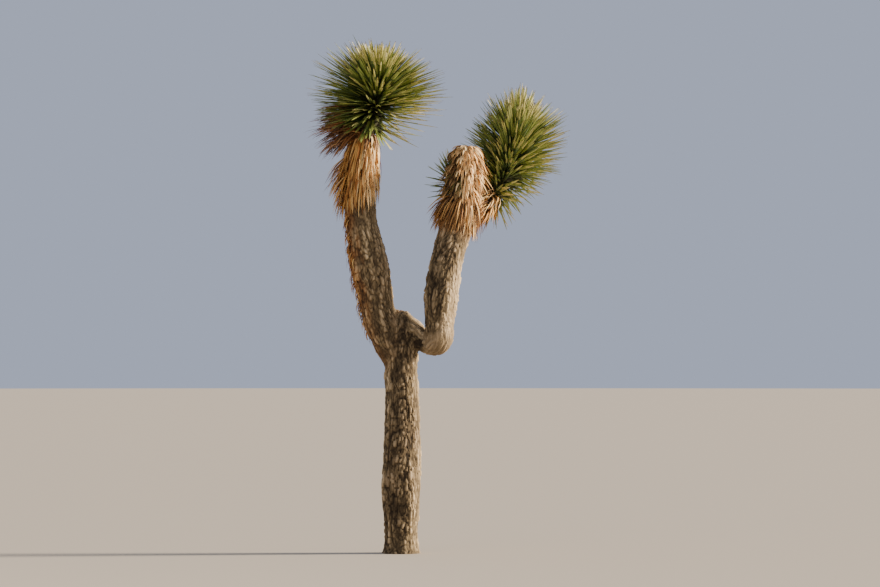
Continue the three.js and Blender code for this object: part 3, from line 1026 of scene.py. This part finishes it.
class Thatch:
    """Dead leaves for one piece, dealt out by one seeded generator. They stand on its stem and take
    their tones from its list, unless a call names others. Lengths, and how far leaves stand out and
    up from the stem, are given in millimetres, and turns, spreads and flares in degrees."""

    def __init__(self, seed, stem, tones):
        self.random = np.random.default_rng(seed)
        self.blades = Blades(DEAD_PROFILE)
        self.stem = stem
        self.tones = tones

    def leaf(self, stem, height, turn, length, out, up, flare, width, tone):
        """A leaf, in metres and radians, that leaves its stem outwards, bends over near its root and
        hangs down. Past a flare of a quarter turn it stands up instead."""
        random = self.random
        point, radius, along, side, front = STEMS[stem].at(height)
        ray, across = ray_and_across(side, front, turn)
        bend = length * BEND
        hanging = length - bend
        middle = point + ray * (radius + out) + along * (up - bend * 0.25)
        tip = middle + ray * math.sin(flare) * hanging - along * math.cos(flare) * hanging
        tip = tip + across * random.normal(0, 0.045) * length + ray * random.normal(0, 0.02) * length
        root = point + ray * radius * 0.8
        control = middle + ray * 0.012 + along * 0.01
        control, tip = kept_out(stem, np.array([control, tip]))
        across = unit(across + ray * random.normal(0, 0.35) + along * random.normal(0, 0.15))
        own_width = width * random.uniform(0.7, 1.2)
        twist = random.normal(0, 0.6)
        self.blades.add(root, control, tip, across, own_width, DEAD_THICKNESS, lambda _: tone, twist)

    def hang(self, leaves, stretch, lengths, out, flares, width=0.014, slant=0.0):
        """Leaves a golden turn apart up a stretch of the stem. A slanted fringe starts higher on the
        side that faces right."""
        random = self.random
        for i in range(leaves):
            share = (i + 0.5) / leaves
            height = mix(*stretch, share)
            turn = i * GOLDEN_TURN + random.uniform(-0.25, 0.25)
            length = mix(*lengths, share) / 1000 * random.uniform(0.55, 1.0)
            own_out = out / 1000 * random.uniform(0.25, 1.15)
            flare = math.radians(mix(*flares, share) + random.normal(0, 3.0))
            tone = self.tones[random.choice(len(self.tones), p=TONE_CHANCES)]
            tone = sided(random, self.tones, turn, tone)
            if height > stretch[0] + slant * max(0.0, math.cos(turn)):
                self.leaf(self.stem, height, turn, length, own_out, 0.0, flare, width, tone)

    def tuft(
        self, leaves, stretch, turn, spread, length, out, flare, up=0, width=0.014, stem=None, tones=None
    ):
        """Leaves from one side of a stretch of stem, which arch out and up by different amounts."""
        random = self.random
        stem = stem or self.stem
        tones = tones or self.tones
        for _ in range(leaves):
            arch = random.uniform(0.35, 1.3)
            own_turn = math.radians(turn + random.uniform(-1, 1) * spread)
            height = random.uniform(*stretch)
            own_length = length / 1000 * random.uniform(0.72, 1.0)
            own_flare = math.radians(flare + random.uniform(-16, 16))
            tone = sided(random, tones, own_turn, one_of(random, tones))
            reach, rise = out * arch / 1000, up * arch / 1000
            self.leaf(stem, height, own_turn, own_length, reach, rise, own_flare, width, tone)

    def made(self, name):
        self.blades.made(name, self.stem, "dead_leaves")


def left_thatch():
    thatch = Thatch(41, "left_thatch", STRAW_TONES)
    thatch.hang(900, (0.24, 0.99), lengths=(190, 290), out=25, flares=(5, 5), slant=0.2)
    thatch.tuft(110, (0.44, 0.7), turn=188, spread=44, length=245, out=42, flare=20)
    thatch.tuft(60, (0.2, 0.4), turn=190, spread=40, length=190, out=38, flare=14, tones=STRAW_TONES[1:])
    thatch.made("left_thatch_leaves")


def left_head_tuft():
    """The ring of leaves that died last, under the live ones, thickest on the left."""
    thatch = Thatch(43, "left_head", NEW_DEAD_TONES)
    thatch.tuft(150, (0.0, 0.3), turn=184, spread=50, length=330, out=105, flare=46, up=30, width=0.016)
    thatch.tuft(90, (0.1, 0.42), turn=186, spread=44, length=330, out=90, flare=62, up=60, width=0.016)
    thatch.tuft(
        110, (0.86, 1.0), turn=184, spread=62, length=290, out=96, flare=40, up=46, width=0.015,
        stem="left_thatch",
    )
    thatch.tuft(46, (0.0, 0.1), turn=0, spread=130, length=150, out=26, flare=24, width=0.012)
    thatch.made("left_head_dead_leaves")


def collar():
    thatch = Thatch(53, "collar_thatch", COLLAR_TONES)
    thatch.hang(460, (0.1, 0.98), lengths=(185, 262), out=36, flares=(8, 22))
    thatch.tuft(60, (0.68, 0.92), turn=182, spread=44, length=240, out=42, flare=18, up=10)
    thatch.made("collar_thatch_leaves")


def dead_head():
    """A shaggy knob: hanging leaves, short ones all over it, and long ones out to both sides."""
    thatch = Thatch(67, "dead_head", BLEACHED_TONES)
    # Lists cut from the tones get no painted shade on the left and take painted sunlight as a thatch
    # does
    not_beige, not_brown = BLEACHED_TONES[1:], BLEACHED_TONES[:4]
    thatch.hang(420, (0.06, 0.97), lengths=(215, 120), out=14, flares=(17, 20), width=0.017)
    thatch.tuft(260, (0.1, 0.95), turn=0, spread=180, length=95, out=30, flare=34, width=0.022)
    thatch.tuft(40, (0.3, 0.7), turn=2, spread=36, length=200, out=28, flare=26, up=12, width=0.016)
    thatch.tuft(
        45, (0.2, 0.6), turn=182, spread=36, length=200, out=28, flare=24, width=0.016,
        tones=not_beige,
    )
    thatch.tuft(
        130, (0.84, 0.97), turn=0, spread=180, length=90, out=30, flare=30, up=6, width=0.022,
        tones=not_brown,
    )
    thatch.tuft(
        80, (0.96, 1.0), turn=0, spread=180, length=70, out=18, flare=44, up=8, width=0.022,
        tones=not_brown,
    )
    thatch.made("dead_head_leaves")


def side_branch():
    thatch = Thatch(79, "side_branch_thatch", COLLAR_TONES)
    thatch.hang(240, (0.35, 0.97), lengths=(240, 240), out=16, flares=(14, 20), width=0.013)
    thatch.made("side_branch_thatch_leaves")


def right_head_skirt():
    """Dead leaves at the foot of the right head, hanging or still standing beside it."""
    thatch = Thatch(83, "right_head", STRAW_TONES)
    thatch.tuft(70, (0.0, 0.16), turn=60, spread=150, length=210, out=30, flare=32, up=6, width=0.013)
    thatch.tuft(26, (0.02, 0.3), turn=165, spread=60, length=240, out=26, flare=150, up=20, width=0.013)
    thatch.made("right_head_dead_leaves")


def old_leaves():
    """Short stubs of dead leaves that still cling down the left flank of the left bough."""
    thatch = Thatch(89, "left_bough", STRAW_TONES[1:])
    thatch.tuft(130, (0.45, 0.99), turn=184, spread=46, length=90, out=8, flare=8, width=0.013)
    thatch.tuft(50, (0.2, 0.5), turn=188, spread=36, length=80, out=8, flare=8, width=0.012)
    thatch.made("left_bough_dead_leaves")


# The tree

STEM_COLOURS = {
    "left_thatch": "6b4a2a",
    "left_head": "4a4a28",
    "collar_thatch": "5f4228",
    "dead_head": "7c5b40",
    "side_branch_thatch": "5f4228",
    "right_head": "4a4a28",
    "rear_head": "4a4a28",
}
STEM_SINK = -0.003  # the stems inside the masses are this much thinner than the solids' ones

# How long leaves are round each head, from the right over the top to the left and on under it
LEFT_COMPASS = (1.12, 0.88, 0.82, 0.98, 1.02, 1.02, 0.98, 0.78, 0.72, 0.7, 0.8, 0.96)
RIGHT_COMPASS = (0.94, 1.1, 1.0, 1.02, 1.0, 0.86, 0.82, 0.85, 0.9, 0.95, 0.92, 0.82)
EVEN_COMPASS = (1.0,)


def core(name, code):
    """The stem inside a mass, which shows dark between its leaves, its darkness partly painted shade."""
    corners, faces = tube(STEMS[name], 28, 30, outwards=STEM_SINK)
    roughened = swing(corners * 60, STEM_SEED)[:, None] * 0.008
    middle = STEMS[name].points[STEMS[name].nearest(corners)]
    corners = corners + unit(corners - middle + 1e-9) * roughened
    material = stem_material(name + " stem", code)
    made = piece(name + "_stem", corners, faces, [material], smooth=True)
    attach(made, "root")
    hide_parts(name)


make_bark()

for stem_name, stem_colour in STEM_COLOURS.items():
    core(stem_name, stem_colour)

live_head(
    "left_head", seed=11, leaves=1600, stretch=(0.02, 0.97), crowding=0.5, tilts=(132, 6),
    lengths=(340, 455, 490, 465, 288), compass=LEFT_COMPASS, lifted=0.7, width=0.0165,
    painted_sun_tips_from=0.72, painted_light_and_shade_below=0.36,
)
live_head(
    "right_head", seed=23, leaves=1400, stretch=(0.04, 0.97), crowding=0.75, tilts=(116, 6),
    lengths=(262, 340, 418, 400, 345), compass=RIGHT_COMPASS, lifted=0.25, width=0.016,
    painted_sun_tips_from=0.8, painted_light_and_shade_below=0.08,
)
live_head(
    "rear_head", seed=37, leaves=100, stretch=(0.3, 0.97), crowding=0.75, tilts=(100, 8),
    lengths=(190, 205, 180), compass=EVEN_COMPASS, lifted=0.0, width=0.012,
    painted_sun_tips_from=0.9, painted_light_and_shade_below=0.0,
)

left_thatch()
left_head_tuft()
collar()
dead_head()
side_branch()
right_head_skirt()
old_leaves()


# Camera, floor and light

FOCAL_LENGTH = 156  # millimetres
SENSOR_WIDTH = 36  # millimetres
SIGHT = 400  # how far the camera sees
CAMERA_PLACE = (0.25, -24.4, 1.34)
CAMERA_TARGET = (0.25, 0.0, 1.66)
SUN_PLACE = (9.5, 0.9, 2.92)  # the low sun shines from here to the origin
FLOOR_RADIUS = 90
FLOOR_SIDES = 96
FLOOR_LEVEL = -0.0005


def aimed(obj, target):
    way = Vector(target) - obj.location
    obj.rotation_euler = way.to_track_quat("-Z", "Y").to_euler()


def floor():
    """A wide pale ground, level with the foot of the trunk."""
    turns = np.arange(FLOOR_SIDES) * 2 * math.pi / FLOOR_SIDES
    level = np.full(FLOOR_SIDES, FLOOR_LEVEL)
    rim = np.column_stack([np.cos(turns) * FLOOR_RADIUS, np.sin(turns) * FLOOR_RADIUS, level])
    material = plain("pale floor", "ada18f", 0.95)
    made = piece("floor", rim, [tuple(range(FLOOR_SIDES))], [material])


def make_camera():
    lens = bpy.data.cameras.new("camera")
    lens.lens = FOCAL_LENGTH
    lens.sensor_width = SENSOR_WIDTH
    lens.clip_end = SIGHT
    camera = placed("camera", lens, CAMERA_PLACE)
    aimed(camera, CAMERA_TARGET)
    bpy.context.scene.camera = camera


def make_sun():
    sun = bpy.data.lights.new("key", "SUN")
    sun.energy = 14.0
    sun.angle = math.radians(10)
    sun.color = (1.0, 0.88, 0.72)
    aimed(placed("key", sun, SUN_PLACE), (0, 0, 0))


def make_fill():
    """A wide, weak lamp on the shaded side of the view."""
    lamp = bpy.data.lights.new("fill", "AREA")
    lamp.shape = "DISK"
    lamp.size = 6.0
    lamp.energy = 230
    lamp.color = (1.0, 0.95, 0.88)
    aimed(placed("fill", lamp, (-4.5, -9.0, 3.0)), (0.1, 0, 1.6))


def make_sky():
    world = bpy.data.worlds.new("sky")
    world.use_nodes = True
    background = world.node_tree.nodes["Background"]
    feed_all(world.node_tree, background, Color=linear("aab3c8"), Strength=1.0)
    bpy.context.scene.world = world


floor()
make_camera()
make_sun()
make_fill()
make_sky()
